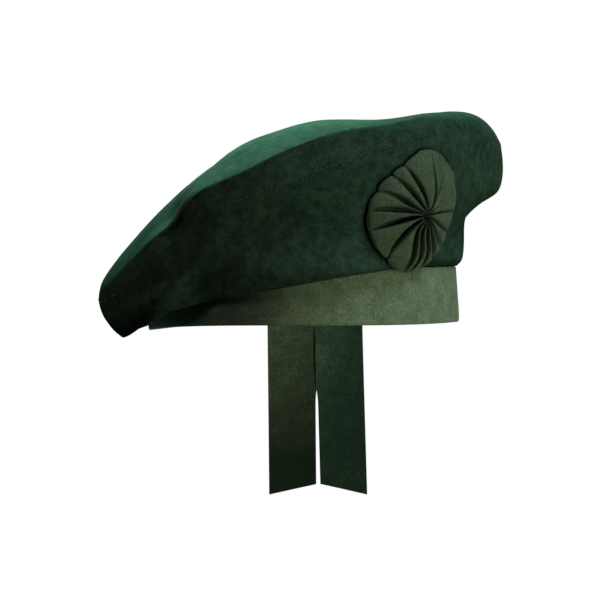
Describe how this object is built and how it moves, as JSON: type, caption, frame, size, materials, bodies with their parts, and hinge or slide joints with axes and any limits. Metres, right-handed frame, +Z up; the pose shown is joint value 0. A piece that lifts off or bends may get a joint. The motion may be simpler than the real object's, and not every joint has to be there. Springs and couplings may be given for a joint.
{
  "type": "caubeen",
  "caption": "Soft wool cap with a full crown that droops to one side, a ribbon band round the head opening, a pleated cockade over one temple and ribbon tails at the back.",
  "frame": {"origin": "middle of the head opening, level with the lower edge of the band", "axes": "+Z up out of the wearer's head, -Y the way the wearer faces, +X to the wearer's left; the crown droops to -X"},
  "size_m": [0.2169, 0.2383, 0.209],
  "materials": {
    "crown_felt": "matt milled wool",
    "band_ribbon": "matt ribbed ribbon",
    "tail_ribbon": "matt ribbon"
  },
  "bodies": {
    "root": {"crown_top": "crown_felt", "crown_side": "crown_felt", "band": "band_ribbon", "cockade": "band_ribbon", "tail_left": "tail_ribbon", "tail_right": "tail_ribbon"}
  },
  "joints": []
}
